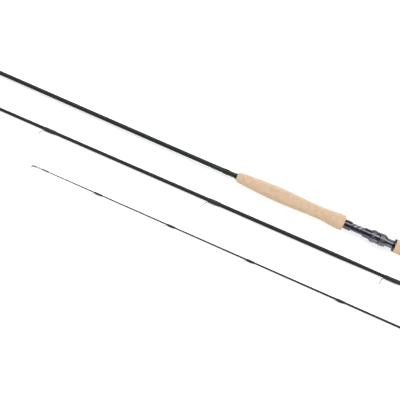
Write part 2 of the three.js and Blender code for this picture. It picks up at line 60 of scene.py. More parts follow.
# ---------- the sections' own frames ----------
def node_points(name):
    """The different corners of a CAD node, in metres, sorted by their X."""
    return sorted({tuple(round(c, 6) for c in v.co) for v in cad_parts[name].data.vertices})


def mean(points):
    """The middle of some points."""
    return sum((Vector(p) for p in points), Vector()) / len(points)


def section_frame(blank, guide):
    """Origin at the thin end of the blank, X along it, and -Z towards the far side of a guide's ring."""
    points = node_points(blank)
    near = 0.0003     # a corner is part of an end's rim when it is this close to the end
    thin = mean([p for p in points if p[0] < points[0][0] + near])
    thick = mean([p for p in points if p[0] > points[-1][0] - near])
    along = (thick - thin).normalized()
    reach = [Vector(p) - thin for p in node_points(guide)]
    reach = [r - along * r.dot(along) for r in reach]
    up = -max(reach, key=lambda r: r.length).normalized()
    across = up.cross(along)
    turn = Matrix((along, across, up)).transposed().to_4x4()
    return Matrix.Translation(thin) @ turn


SECTIONS = {
    "butt_section": section_frame("butt_blank", "stripping_guide_1"),
    "middle_section": section_frame("middle_blank", "stripping_guide_2"),
    "tip_section": section_frame("tip_blank", "tip_guide_6"),
}


def local_box(node, section):
    """A CAD node's lowest and highest corners in its section's frame, in millimetres."""
    inverse = SECTIONS[section].inverted()
    points = [inverse @ Vector(p) / MM for p in node_points(node)]
    low = [min(p[k] for p in points) for k in range(3)]
    high = [max(p[k] for p in points) for k in range(3)]
    return low, high


def span(node, section="butt_section"):
    """Where a CAD node starts and ends along its section, in millimetres."""
    low, high = local_box(node, section)
    return low[0], high[0]


def outline_of(node, section):
    """The outer radius of a turned CAD node at each of its stations along the section, in millimetres."""
    inverse = SECTIONS[section].inverted()
    rings = {}
    for p in node_points(node):
        q = inverse @ Vector(p) / MM
        x = round(q.x, 1)
        rings[x] = max(rings.get(x, 0), math.hypot(q.y, q.z))
    return sorted(rings.items())


def value_at(stations, x):
    """The value at x on the straight lines that join the stations, carried on past both ends."""
    for (x0, r0), (x1, r1) in zip(stations, stations[1:]):
        if x <= x1:
            break
    return r0 + (r1 - r0) * (x - x0) / (x1 - x0)


TAPERS = {
    "butt_section": outline_of("butt_blank", "butt_section"),
    "middle_section": outline_of("middle_blank", "middle_section"),
    "tip_section": outline_of("tip_blank", "tip_section"),
}


# ---------- meshes ----------
def add_piece(name, section, verts, faces, finish, body=None, sharp=35, uvs=None):
    """A mesh, in millimetres in its section's frame, for the CAD node of that name and its body."""
    mesh = bpy.data.meshes.new(name)
    mesh.from_pydata([SECTIONS[section] @ (Vector(v) * MM) for v in verts], [], faces)
    place = mesh.attributes.new("section_mm", "FLOAT_VECTOR", "POINT")
    for i, v in enumerate(verts):
        place.data[i].vector = v
    if uvs:
        layer = mesh.uv_layers.new(name="unrolled")
        for loop in mesh.loops:
            layer.data[loop.index].uv = uvs[loop.vertex_index]
    for polygon in mesh.polygons:
        polygon.use_smooth = True
    mesh.set_sharp_from_angle(angle=math.radians(sharp))
    piece = bpy.data.objects.new(f"{name}_surface", mesh)
    bpy.context.scene.collection.objects.link(piece)
    mesh.materials.append(finish["material"])
    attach(piece, body or section)
    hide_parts(name)
    return piece


def wall(stations, radius, segments, closed=True):
    """A grid round the X axis, from radius(x, angle, station number). Closed joins last to first."""
    verts = []
    for i, x in enumerate(stations):
        for k in range(segments):
            angle = TAU * k / segments
            r = radius(x, angle, i)
            verts.append((x, r * math.cos(angle), r * math.sin(angle)))
    faces = []
    rows = len(stations)
    for i in range(rows if closed else rows - 1):
        j = (i + 1) % rows
        for k in range(segments):
            m = (k + 1) % segments
            faces.append((i * segments + k, j * segments + k, j * segments + m, i * segments + m))
    return verts, faces


def rounded(outline, radius, steps=3):
    """Rounds the corners of a closed outline of (x, r) points with curves of about that radius."""
    points = []
    count = len(outline)
    most = 0.45     # the share of an edge that one corner may take
    for i, corner in enumerate(outline):
        here = Vector(corner)
        before = Vector(outline[i - 1]) - here
        after = Vector(outline[(i + 1) % count]) - here
        reach = min(radius, before.length * most, after.length * most)
        start = here + before.normalized() * reach
        end = here + after.normalized() * reach
        for s in range(steps + 1):
            t = s / steps
            points.append(tuple(start * (1 - t) ** 2 + here * 2 * t * (1 - t) + end * t * t))
    return points


def turned(outline, segments=96):
    """A closed outline of (x, r) points turned round X. It runs rearwards outside, forwards inside."""
    radii = [r for _, r in outline]
    return wall([x for x, _ in outline], lambda x, angle, i: radii[i], segments)


def capped(outline, segments=96):
    """An open outline of (x, r) points that starts and ends on the axis."""
    inner = outline[1:-1]
    radii = [r for _, r in inner]
    verts, faces = wall([x for x, _ in inner], lambda x, angle, i: radii[i], segments, closed=False)
    first, last = len(verts), len(verts) + 1
    verts += [(outline[0][0], 0, 0), (outline[-1][0], 0, 0)]
    tail = (len(inner) - 1) * segments
    for k in range(segments):
        m = (k + 1) % segments
        faces.append((first, k, m))
        faces.append((last, tail + m, tail + k))
    return verts, faces


def merged(*shells):
    """Several shells as one."""
    verts, faces = [], []
    for shell_verts, shell_faces in shells:
        start = len(verts)
        verts += shell_verts
        faces += [tuple(start + index for index in face) for face in shell_faces]
    return verts, faces


def swept(path, radii, sides=12, ring=False, flat=1.0):
    """A round wire along a path. flat is its height as a share of its width, where it runs along X."""
    points = [Vector(p) for p in path]
    count = len(points)
    verts = []
    side = None
    for i, point in enumerate(points):
        if ring:
            heading = (points[(i + 1) % count] - points[i - 1]).normalized()
        else:
            heading = (points[min(i + 1, count - 1)] - points[max(i - 1, 0)]).normalized()
        if side is None:
            guess = Vector((0, 1, 0)) if abs(heading.y) < 0.9 else Vector((1, 0, 0))
            side = (guess - heading * guess.dot(heading)).normalized()
        side = (side - heading * side.dot(heading)).normalized()
        other = heading.cross(side)
        r = radii[i] if isinstance(radii, list) else radii
        for k in range(sides):
            angle = TAU * k / sides
            offset = side * math.cos(angle) * r + other * math.sin(angle) * r * flat
            verts.append(tuple(point + offset))
    faces = []
    for i in range(count if ring else count - 1):
        j = (i + 1) % count
        for k in range(sides):
            m = (k + 1) % sides
            faces.append((i * sides + k, i * sides + m, j * sides + m, j * sides + k))
    if not ring:
        tail = (count - 1) * sides
        faces.append(tuple(reversed(range(sides))))
        faces.append(tuple(tail + k for k in range(sides)))
    return verts, faces


def bezier(a, b, c, d, steps=12):
    """A curve from a to d that b and c pull on."""
    a, b, c, d = Vector(a), Vector(b), Vector(c), Vector(d)
    points = []
    for i in range(steps + 1):
        t = i / steps
        u = 1 - t
        points.append(a * u ** 3 + b * 3 * u * u * t + c * 3 * u * t * t + d * t ** 3)
    return points


def smoothstep(low, high, value):
    """0 below low, 1 above high, and an even rise between them."""
    t = min(max((value - low) / (high - low), 0), 1)
    return t * t * (3 - 2 * t)


# ---------- materials ----------
def gray(value):
    """A colour with no hue."""
    return (value, value, value)


class Nodes:
    """A material's node tree, with short calls for the few nodes used here."""

    def __init__(self, name, **settings):
        self.material = bpy.data.materials.new(name)
        self.material.use_nodes = True
        self.tree = self.material.node_tree
        self.shader = self.tree.nodes["Principled BSDF"]
        for key, value in settings.items():
            self.shader.inputs[key.replace("_", " ")].default_value = value

    def add(self, kind, **settings):
        node = self.tree.nodes.new("ShaderNode" + kind)
        for key, value in settings.items():
            setattr(node, key, value)
        return node

    def link(self, out, socket):
        self.tree.links.new(out, socket)

    def place(self, scale=(1, 1, 1)):
        """A point of the piece in its section's frame, in millimetres times scale."""
        attribute = self.add("Attribute", attribute_name="section_mm")
        mapping = self.add("Mapping")
        mapping.inputs["Scale"].default_value = scale
        self.link(attribute.outputs["Vector"], mapping.inputs["Vector"])
        return mapping.outputs["Vector"]

    def math(self, operation, a, b=0.0, c=0.0):
        node = self.add("Math", operation=operation)
        for socket, value in zip(node.inputs, (a, b, c)):
            if isinstance(value, (int, float)):
                socket.default_value = value
            else:
                self.link(value, socket)
        return node.outputs[0]

    def split(self, vector):
        node = self.add("SeparateXYZ")
        self.link(vector, node.inputs[0])
        return node.outputs

    def noise(self, vector, scale=1.0, detail=3.0, rough=0.5):
        node = self.add("TexNoise")
        self.link(vector, node.inputs["Vector"])
        node.inputs["Scale"].default_value = scale
        node.inputs["Detail"].default_value = detail
        node.inputs["Roughness"].default_value = rough
        return node.outputs["Fac"]

    def ramp(self, factor, *stops):
        node = self.add("ValToRGB")
        elements = node.color_ramp.elements
        while len(elements) < len(stops):
            elements.new(0.5)
        for element, (position, color) in zip(elements, stops):
            element.position = position
            element.color = (*color, 1)
        self.link(factor, node.inputs["Fac"])
        return node.outputs["Color"]

    def mix(self, factor, a, b, blend="MIX"):
        node = self.add("Mix", data_type="RGBA", blend_type=blend)
        sockets = (node.inputs["Factor"], node.inputs[6], node.inputs[7])
        for socket, value in zip(sockets, (factor, a, b)):
            if isinstance(value, (int, float)):
                socket.default_value = value
            elif isinstance(value, tuple):
                socket.default_value = (*value, 1)
            else:
                self.link(value, socket)
        return node.outputs[2]

    def color(self, out):
        self.link(out, self.shader.inputs["Base Color"])

    def rough(self, factor, low, high):
        node = self.add("MapRange")
        node.inputs["To Min"].default_value = low
        node.inputs["To Max"].default_value = high
        self.link(factor, node.inputs["Value"])
        self.link(node.outputs["Result"], self.shader.inputs["Roughness"])

    def bump(self, height, distance_mm, strength=1.0, coat=False):
        node = self.add("Bump")
        node.inputs["Distance"].default_value = distance_mm * MM
        node.inputs["Strength"].default_value = strength
        self.link(height, node.inputs["Height"])
        self.link(node.outputs["Normal"], self.shader.inputs["Normal"])
        if coat:
            self.link(node.outputs["Normal"], self.shader.inputs["Coat Normal"])

    def done(self, slot):
        return {"material": self.material, "slot": slot}


def blank_finish():
    """Clear-coated carbon: near black with a green cast, and faint bands of wound tape under the coat."""
    tape_pitch = 3.2
    n = Nodes("blank_carbon", Coat_Weight=0.35, Coat_Roughness=0.15, Specular_IOR_Level=0.05)
    x, y, z = n.split(n.place())
    around = n.math("ARCTAN2", y, z)
    tape = n.math("SINE", n.math("ADD", n.math("MULTIPLY", x, TAU / tape_pitch), around))
    grain = n.noise(n.place((0.09, 2.2, 2.2)), 1.0, 4)
    cloud = n.noise(n.place((0.025, 0.12, 0.12)), 1.0, 2)
    fibre = n.math("MULTIPLY_ADD", tape, 0.08, grain)
    base = n.ramp(fibre, (0.3, (0.004, 0.0065, 0.006)), (0.75, (0.012, 0.018, 0.0165)))
    n.color(n.mix(cloud, base, (0.007, 0.011, 0.01)))
    n.rough(grain, 0.32, 0.5)
    n.bump(grain, 0.01, 0.3)
    return n.done("blank")


def thread_finish(name, slot, dark, light, pitch=0.19):
    """Thread wound side by side, under a coat of epoxy."""
    n = Nodes(name, Coat_Weight=0.4, Coat_Roughness=0.06, Specular_IOR_Level=0.1)
    x, y, z = n.split(n.place())
    around = n.math("MULTIPLY", n.math("ARCTAN2", y, z), 1 / TAU)
    turn = n.math("ADD", n.math("MULTIPLY", x, 1 / pitch), around)
    strand = n.math("ABSOLUTE", n.math("SINE", n.math("MULTIPLY", turn, math.pi)))
    fuzz = n.noise(n.place((9, 1.5, 1.5)), 1.0, 2)
    tone = n.math("MULTIPLY_ADD", fuzz, 0.35, n.math("MULTIPLY", strand, 0.65))
    n.color(n.ramp(tone, (0.15, dark), (0.85, light)))
    n.rough(fuzz, 0.4, 0.6)
    n.bump(strand, 0.05, 0.8)
    return n.done(slot)


def cork_finish(first_ring_start, ring_length):
    """Natural cork: each glued ring has its own tone, with grain, brown flecks and dark pits."""
    n = Nodes("cork", Specular_IOR_Level=0.25, Sheen_Weight=0.35, Sheen_Roughness=0.4)
    x, _, _ = n.split(n.place())
    ring = n.math("FLOOR", n.math("DIVIDE", n.math("SUBTRACT", x, first_ring_start), ring_length))
    chance = n.add("TexWhiteNoise", noise_dimensions="1D")
    n.link(ring, chance.inputs["W"])
    shift = n.add("VectorMath", operation="MULTIPLY_ADD")
    n.link(chance.outputs["Color"], shift.inputs[0])
    shift.inputs[1].default_value = (40, 40, 40)
    n.link(n.place(), shift.inputs[2])
    spot = shift.outputs["Vector"]
    patch = n.noise(spot, 0.16, 3)
    grain = n.noise(spot, 0.9, 5, 0.65)
    fine = n.noise(spot, 4.0, 3, 0.6)
    stretch = n.add("Mapping")
    stretch.inputs["Scale"].default_value = (0.3, 0.75, 0.75)
    n.link(spot, stretch.inputs["Vector"])
    pits = n.noise(stretch.outputs["Vector"], 1.3, 3, 0.55)
    base = n.ramp(patch, (0.3, (0.5, 0.34, 0.21)), (0.7, (0.59, 0.435, 0.3)))
    toned = n.mix(n.math("MULTIPLY", chance.outputs["Value"], 0.3), base, (0.55, 0.42, 0.31))
    tint = n.ramp(grain, (0.35, (0.44, 0.28, 0.165)), (0.6, (0.62, 0.485, 0.35)))
    grained = n.mix(n.math("MULTIPLY", grain, 0.6), toned, tint)
    specks = n.ramp(fine, (0.62, gray(0)), (0.72, gray(1)))
    flecked = n.mix(n.math("MULTIPLY", specks, 0.25), grained, (0.4, 0.26, 0.15))
    pit_mask = n.ramp(pits, (0.66, gray(0)), (0.71, gray(1)))
    n.color(n.mix(pit_mask, flecked, (0.3, 0.17, 0.09)))
    n.rough(grain, 0.72, 0.95)
    depth = n.math("SUBTRACT", n.math("MULTIPLY", grain, 0.4), pit_mask)
    n.bump(depth, 0.25, 0.7)
    return n.done("cork")


def metal_finish(name, slot, low, high, roughness=(0.05, 0.13), turning=0.1):
    """Turned and anodised aluminium: fine tool rings and a faint unevenness in the dye."""
    n = Nodes(name, Metallic=0.9, Coat_Weight=0.2, Coat_Roughness=0.08)
    rings = n.noise(n.place((9, 0.3, 0.3)), 1.0, 2)
    dye = n.noise(n.place((0.12, 0.12, 0.12)), 1.0, 3)
    n.color(n.ramp(dye, (0.3, low), (0.7, high)))
    n.rough(rings, *roughness)
    n.bump(rings, 0.01, turning)
    return n.done(slot)


def weave_finish():
    """A two-by-two twill of pale and dark tows under a clear coat, with painted shade that darkens it to
    nearly black towards the flat.
    """
    n = Nodes("woven_insert", Coat_Weight=0.2, Coat_Roughness=0.06, Specular_IOR_Level=0.15)
    uv = n.add("UVMap", uv_map="unrolled")
    u, v, _ = n.split(uv.outputs["UV"])
    tow = 2.0
    a = n.math("DIVIDE", u, tow)
    b = n.math("DIVIDE", v, tow)
    step = n.math("MODULO", n.math("ADD", n.math("FLOOR", a), n.math("FLOOR", b)), 4.0)
    over = n.math("LESS_THAN", step, 1.5)
    across_a = n.math("ABSOLUTE", n.math("SUBTRACT", n.math("FRACT", a), 0.5))
    across_b = n.math("ABSOLUTE", n.math("SUBTRACT", n.math("FRACT", b), 0.5))
    edge_a = n.ramp(across_a, (0.1, gray(1)), (0.5, gray(0.2)))
    edge_b = n.ramp(across_b, (0.1, gray(1)), (0.5, gray(0.2)))
    chosen = n.mix(over, edge_a, edge_b)
    streak = n.noise(n.place((0.9, 0.9, 0.9)), 1.0, 4)
    light = n.mix(over, (0.55, 0.53, 0.58), (0.07, 0.062, 0.085))
    woven = n.mix(1.0, light, chosen, "MULTIPLY")
    mottled = n.mix(n.math("MULTIPLY", streak, 0.3), woven, (0.035, 0.03, 0.05))
    z = n.split(n.place())[2]
    # painted shade: the colour is darkened to near black on the flat's side, which faces away from the
    # main light
    painted_shade_side = n.ramp(n.math("MULTIPLY_ADD", z, 0.1, 0.5), (0.4, gray(1)), (0.6, gray(0)))
    n.color(n.mix(painted_shade_side, mottled, (0.016, 0.014, 0.022)))
    n.rough(streak, 0.25, 0.45)
    n.bump(chosen, 0.08, 0.5)
    return n.done("insert")


def wire_finish(name, low, high):
    """Plated wire with a little staining."""
    n = Nodes(name, Metallic=1.0)
    stain = n.noise(n.place((0.7, 0.7, 0.7)), 1.0, 3)
    n.color(n.ramp(stain, (0.3, low), (0.7, high)))
    n.rough(stain, 0.2, 0.32)
    n.bump(stain, 0.01, 0.3)
    return n.done("guide_wire")


def ceramic_finish():
    """Polished pale grey ceramic."""
    n = Nodes("guide_ceramic", Coat_Weight=0.5, Coat_Roughness=0.05)
    cloud = n.noise(n.place((0.4, 0.4, 0.4)), 1.0, 3)
    n.color(n.ramp(cloud, (0.3, (0.42, 0.43, 0.47)), (0.7, (0.52, 0.53, 0.57))))
    n.rough(cloud, 0.1, 0.2)
    return n.done("guide_ceramic")


def plain_finish(name, slot, low, high, roughness):
    """Moulded rubber or nylon with a fine texture."""
    n = Nodes(name, Specular_IOR_Level=0.35)
    texture = n.noise(n.place((2.5, 2.5, 2.5)), 1.0, 3)
    cloud = n.noise(n.place((0.2, 0.2, 0.2)), 1.0, 3)
    n.color(n.ramp(cloud, (0.3, low), (0.7, high)))
    n.rough(cloud, *roughness)
    n.bump(texture, 0.03, 0.4)
    return n.done(slot)


# the cork grip: how many rings it has, where it starts, and how long a ring is
GRIP_RINGS = 15
GRIP_FRONT = span("grip_ring_01")[0]
CORK_RING = span("grip_ring_02")[0] - GRIP_FRONT

BLANK = blank_finish()
THREAD = thread_finish("thread_black", "thread", (0.004, 0.006, 0.0055), (0.016, 0.021, 0.019))
TRIM_GREEN = thread_finish(
    "thread_green_black", "trim_thread", (0.003, 0.0055, 0.005), (0.013, 0.021, 0.019))
TRIM_BLACK = thread_finish("thread_band", "trim_thread", (0.004, 0.004, 0.004), (0.014, 0.014, 0.013))
TRIM_BROWN = thread_finish(
    "thread_brown_black", "trim_thread", (0.005, 0.004, 0.0025), (0.019, 0.015, 0.01))
CORK = cork_finish(GRIP_FRONT, CORK_RING)
SEAT_METAL = metal_finish("seat_anodised", "anodised_seat", (0.05, 0.051, 0.07), (0.072, 0.073, 0.098))
NUT_METAL = metal_finish("nut_anodised", "anodised_nut", (0.09, 0.085, 0.105), (0.13, 0.124, 0.15))
COLLAR_METAL = metal_finish(
    "collar_anodised", "anodised_seat", (0.03, 0.026, 0.026), (0.042, 0.036, 0.036))
BARREL_METAL = metal_finish(
    "barrel_anodised", "anodised_seat", (0.12, 0.115, 0.145), (0.17, 0.163, 0.2), (0.15, 0.25))
CHECK_METAL = metal_finish("check_anodised", "anodised_seat", gray(0.012), gray(0.02))
WEAVE = weave_finish()
WIRE = wire_finish("wire_dark", (0.24, 0.25, 0.255), (0.34, 0.35, 0.355))
BRIGHT_WIRE = wire_finish("wire_bright", (0.42, 0.43, 0.44), (0.54, 0.55, 0.56))
CERAMIC = ceramic_finish()
NYLON = plain_finish("washer_nylon", "washer", gray(0.012), gray(0.02), (0.4, 0.55))
RUBBER = plain_finish("cap_rubber", "cap", (0.012, 0.012, 0.014), (0.022, 0.022, 0.025), (0.5, 0.7))
ARBOR = plain_finish("arbor_plastic", "arbor", gray(0.03), gray(0.05), (0.5, 0.7))


# ---------- blanks ----------
def add_blank(section, name, wall_mm):
    """A tapered tube, open at both ends, with a small chamfer round each rim."""
    stations = TAPERS[section]
    start, end = stations[0][0], stations[-1][0]
    count = 48
    segments = 48
    rim = 0.15
    outer = [start + (end - start) * i / count for i in range(count + 1)]
    outline = [(x, value_at(stations, x)) for x in outer]
    bore = [(end, outline[-1][1] - wall_mm), (start, outline[0][1] - wall_mm)]
    front = [(start, outline[0][1] - rim), (start + rim, outline[0][1])]
    rear = [(end - rim, outline[-1][1]), (end, outline[-1][1] - rim)]
    verts, faces = turned(front + outline[1:-1] + rear + bore, segments)
    add_piece(name, section, verts, faces, BLANK, sharp=50)


def add_blanks():
    """The three blanks, thinner in the wall towards the tip."""
    add_blank("butt_section", "butt_blank", 1.0)
    add_blank("middle_section", "middle_blank", 0.83)
    add_blank("tip_section", "tip_blank", 0.4)


# ---------- thread wraps ----------
def wrap_shell(section, start, end, thickness, ridge=0.0, nose=0.0):
    """An epoxied wrap that rises from the blank at each end.

    ridge is how far a guide's foot lifts it, and nose is the share of that lift at its front edge.
    The lift is full until foot_share of the wrap's length and falls to nothing at its rear.
    """
    taper = TAPERS[section]
    step = 0.5
    count = max(int((end - start) / step), 12)
    shoulder = 1.1
    ease = [0.0, 0.02, 0.06, 0.14, 0.3, 0.55]
    flank = 0.95     # how far to each side of the foot the ridge spreads
    foot_share = 0.55
    nose_length = 2
    unevenness = 0.02
    clear_of_blank = 0.002
    into_blank = 0.05
    segments = 48
    xs = [start + shoulder * e for e in ease]
    xs += [start + shoulder + (end - start - 2 * shoulder) * i / count for i in range(count + 1)]
    xs += [end - shoulder * e for e in reversed(ease)]

    def radius(x, angle, i):
        base = value_at(taper, x)
        if i >= len(xs):
            return base - into_blank
        depth = min((x - start) / shoulder, (end - x) / shoulder, 1)
        swell = math.sqrt(max(1 - (1 - depth) ** 2, 0))
        from_foot = math.remainder(angle - DOWN, TAU) * base
        lift = math.exp(-(from_foot / flank) ** 2) * ridge
        lift *= 1 - smoothstep(start + foot_share * (end - start), end - shoulder, x)
        lift *= nose + (1 - nose) * smoothstep(start, start + nose_length, x)
        wobble = unevenness * noise.noise(Vector((x * 0.35, math.cos(angle), math.sin(angle))))
        return base + swell * (thickness + lift + wobble) + clear_of_blank

    return wall(xs + [end, start], radius, segments)


def add_plain_wrap(section, name, finish, thickness):
    """A wrap with no guide's foot under it."""
    verts, faces = wrap_shell(section, *span(name, section), thickness)
    add_piece(name, section, verts, faces, finish, sharp=70)


# ---------- guides ----------
def on_ring(x, height, radius, lean, angle):
    """A point on a guide's ring. Its far side, at angle 0, leans towards the rod's tip."""
    out = radius * math.cos(angle)
    return (x - math.sin(lean) * out, radius * math.sin(angle), -height - math.cos(lean) * out)


def add_guide(section, name, wire_mm, finish, lean=0.0):
    """A single-foot wire guide: a ring, two legs that curve down to one foot, and the foot's wrap."""
    low, high = local_box(name, section)
    wrap_start, wrap_end = span(name + "_wrap", section)
    radius = high[1] - wire_mm
    x = low[0] + wire_mm + radius * math.sin(lean)
    height = -low[2] - wire_mm - radius * math.cos(lean)
    foot_depth = value_at(TAPERS[section], wrap_start) + 0.3
    foot_start = wrap_start + 0.4
    foot_length = high[0] - 0.5 - foot_start
    count = 40
    ring = [on_ring(x, height, radius, lean, TAU * i / count) for i in range(count)]
    shells = [swept(ring, wire_mm, ring=True, sides=14)]
    legs_apart = 0.3
    leg_turn = 0.75     # the angle round the ring, from its near side, at which a leg meets it
    for side in (-1, 1):
        end = on_ring(x, height, radius, lean, math.pi - side * leg_turn)
        clear = max(height - radius - foot_depth, 0.6)
        path = bezier(
            (foot_start + 1.6, side * legs_apart, -foot_depth),
            (foot_start - 0.9, side * legs_apart, -foot_depth),
            (foot_start - 1.4, end[1] * 0.75, -foot_depth - clear * 0.5),
            end)
        shells.append(swept(path, wire_mm * 0.8, sides=10))
    foot_rise = 0.15
    foot_shape = [(0, 0.5), (0.1, 0.62), (0.3, 0.65), (0.6, 0.55), (0.85, 0.4), (1, 0.2)]
    path = [(foot_start + foot_length * t, 0, -foot_depth + foot_rise * t) for t, _ in foot_shape]
    shells.append(swept(path, [r for _, r in foot_shape], sides=12, flat=0.5))
    add_piece(name, section, *merged(*shells), finish, sharp=60)
    verts, faces = wrap_shell(section, wrap_start, wrap_end, 0.56, ridge=0.7, nose=0.85)
    add_piece(name + "_wrap", section, verts, faces, THREAD, sharp=70)


def add_ceramic(section, name):
    """The polished ring inside a stripping guide's frame, with an oval section."""
    low, high = local_box(name, section)
    outer = (high[1] - low[1]) / 2
    centre = (low[2] + high[2]) / 2
    middle = (low[0] + high[0]) / 2
    inside_frame = 0.98
    half_length = (high[0] - low[0]) / 2 * inside_frame
    half_height = 0.55
    steps = 16
    outline = []
    for i in range(steps):
        angle = -TAU * (i + 1) / steps
        x = middle + half_length * math.cos(angle)
        r = outer - half_height + half_height * inside_frame * math.sin(angle)
        outline.append((x, r))
    verts, faces = turned(outline, 72)
    verts = [(x, y, z + centre) for x, y, z in verts]
    add_piece(name, section, verts, faces, CERAMIC, sharp=60)


def add_guides():
    """The running guides, which lean towards the tip, and the upright stripping guides."""
    lean = math.radians(20)
    for i in range(6):
        add_guide("tip_section", f"tip_guide_{i + 1}", 0.42, WIRE, lean)
    for i in range(3):
        add_guide("middle_section", f"middle_guide_{i + 1}", 0.52, WIRE, lean)
    add_guide("butt_section", "stripping_guide_1", 0.74, BRIGHT_WIRE)
    add_guide("middle_section", "stripping_guide_2", 0.69, BRIGHT_WIRE)
    add_ceramic("butt_section", "stripping_guide_1_ring")
    add_ceramic("middle_section", "stripping_guide_2_ring")


def add_tip_top():
    """The tube over the end of the blank, with the line's loop leaning forward on it and two braces."""
    section = "tip_section"
    low, high = local_box("tip_top", section)
    sleeve_end = high[0]
    outer, inner = 1.18, 0.95
    blank_start = 1.0
    tube = capped([
        (-0.8, 0), (-0.8, 0.5), (-0.65, 0.85), (-0.2, 1.08), (0.4, outer), (sleeve_end - 0.2, outer),
        (sleeve_end, outer - 0.1), (sleeve_end, inner), (blank_start, inner), (blank_start, 0)], 32)
    wire = 0.42
    radius = high[1] - wire
    centre = Vector((-1.6, 0, -1.9))
    turn = Matrix.Rotation(math.radians(32), 3, "Y")
    count = 36

    def on_loop(angle):
        return centre + turn @ Vector((0, radius * math.sin(angle), radius * math.cos(angle)))

    loop = swept([on_loop(TAU * i / count) for i in range(count)], wire, ring=True)
    brace_turn = 2.2     # the angle round the loop, from its near side, at which a brace meets it
    brace_wire = 0.36
    braces = []
    for side in (-1, 1):
        start = Vector((8.5, side * 0.35, -1.0))
        end = on_loop(side * brace_turn)
        start_pull = start + Vector((-3, 0, -0.1))
        end_pull = end + Vector((2, -side * 0.3, 0.5))
        path = bezier(start, start_pull, end_pull, end, 10)
        braces.append(swept(path, brace_wire, sides=10))
    add_piece("tip_top", section, *merged(tube, loop, *braces), WIRE, sharp=50)
    add_plain_wrap(section, "tip_top_wrap", THREAD, 0.42)


# ---------- grip ----------
def grip_outline():
    """The turned grip's radius along its length, through the rims of its cork rings."""
    stations = {}
    for i in range(GRIP_RINGS):
        for x, r in outline_of(f"grip_ring_{i + 1:02d}", "butt_section"):
            stations[x] = r
    return sorted(stations.items())


GRIP = grip_outline()


def smooth_grip(x):
    """The grip's outline with its facets eased out, except at its round front."""
    front, rear = GRIP[0][0], GRIP[-1][0]
    round_front = 12
    reach = 2.4
    if x < front + round_front:
        return value_at(GRIP, x)
    near = [min(max(x + reach * k, front), rear) for k in (-1, -0.5, 0, 0.5, 1)]
    return sum(value_at(GRIP, n) for n in near) / len(near)


def cork_pit(point, seed):
    """How deep the cork is torn at a point, from 0 to 1: sparse hollows, longest round the rod."""
    near = Vector((point.x * 0.42 + seed * 7.3, point.y * 0.3, point.z * 0.3))
    value = noise.noise(near * 1.35) + 0.4 * noise.noise(near * 3.1)
    return smoothstep(0.42, 0.62, value)


def add_cork_ring(name, number, bore, profile):
    """A ring of cork with torn pits. Its edges are eased, so that a fine groove shows at each joint."""
    start, end = span(name)
    edge = 0.16
    count = 20
    face = end - start - 2 * edge
    xs = [start, start + edge * 0.4]
    xs += [start + edge + face * i / count for i in range(count + 1)]
    xs += [end - edge * 0.4, end]
    drop = [edge, edge * 0.35] + [0] * (count + 1) + [edge * 0.35, edge]
    inside_cad = 0.996
    pit_depth = 0.3
    grain_depth = 0.03

    def radius(x, angle, i):
        if i >= len(xs):
            return bore
        r = profile(x) * inside_cad - drop[i]
        point = Vector((x, r * math.cos(angle), r * math.sin(angle)))
        grain = grain_depth * noise.noise(point * 0.9)
        return r - pit_depth * cork_pit(point, number) - abs(grain)

    verts, faces = wall(xs + [end, start], radius, 144)
    add_piece(name, "butt_section", verts, faces, CORK, sharp=80)


def add_grip():
    """The grip's cork rings. The last one is bored wider, for the sleeve of the fixed hood."""
    sleeve_bore = 7.6
    blank_bore = 4.4
    last = GRIP_RINGS - 1
    for i in range(GRIP_RINGS):
        bore = sleeve_bore if i == last else blank_bore
        add_cork_ring(f"grip_ring_{i + 1:02d}", i, bore, smooth_grip)


def add_winding_check():
    """The stepped metal ring at the front of the grip."""
    start, end = span("winding_check")
    bore = 4.45
    outline = rounded([
        (start, bore), (start, 4.68), (start + 0.9, 4.72), (start + 1.1, 4.95), (end - 1.0, 5.05),
        (end - 0.8, 5.24), (end, 5.26), (end, bore)], 0.12)
    add_piece("winding_check", "butt_section", *turned(outline, 64), CHECK_METAL)


def add_trim_wrap():
    """The wraps in front of the grip: green black, a raised black band, then brown black."""
    section = "butt_section"
    start, end = span("trim_wrap")
    taper = TAPERS[section]
    thickness, band_thickness = 0.24, 0.8
    band = [x for x, r in outline_of("trim_wrap", section) if r > value_at(taper, x) + 0.5]
    foot = 0.6     # the raised band's shoulders, past its CAD stations
    overlap = 0.4
    band_start, band_end = band[0] - foot, band[-1] + foot
    shells = [
        wrap_shell(section, start, band_start + overlap, thickness),
        wrap_shell(section, band_start, band_end, band_thickness),
        wrap_shell(section, band_end - overlap, end, thickness),
    ]
    piece = add_piece("trim_wrap", section, *merged(*shells), TRIM_GREEN, sharp=70)
    piece.data.materials.append(TRIM_BLACK["material"])
    piece.data.materials.append(TRIM_BROWN["material"])
    first = 0
    for material_index, (_, faces) in enumerate(shells):
        for polygon in piece.data.polygons[first:first + len(faces)]:
            polygon.material_index = material_index
        first += len(faces)


# ---------- reel seat ----------
HOOD_BORE = 7.75     # round the insert and the foot of the reel
NUT_BORE = 7.82      # round the barrel
BLANK_BORE = 4.6     # round the blank, behind the grip


def seat_part(name, outline, finish, body=None, round_mm=0.25):
    """A turned part of the reel seat, with its corners rounded."""
    verts, faces = turned(rounded(outline, round_mm))
    add_piece(name, "butt_section", verts, faces, finish, body=body)


def groove(x, front, rear, depth):
    """The points of a groove turned in a hood: its two rims and its floor."""
    floor = front - depth
    return [(x, front), (x + 0.3, floor), (x + 0.9, floor), (x + 1.2, rear)]


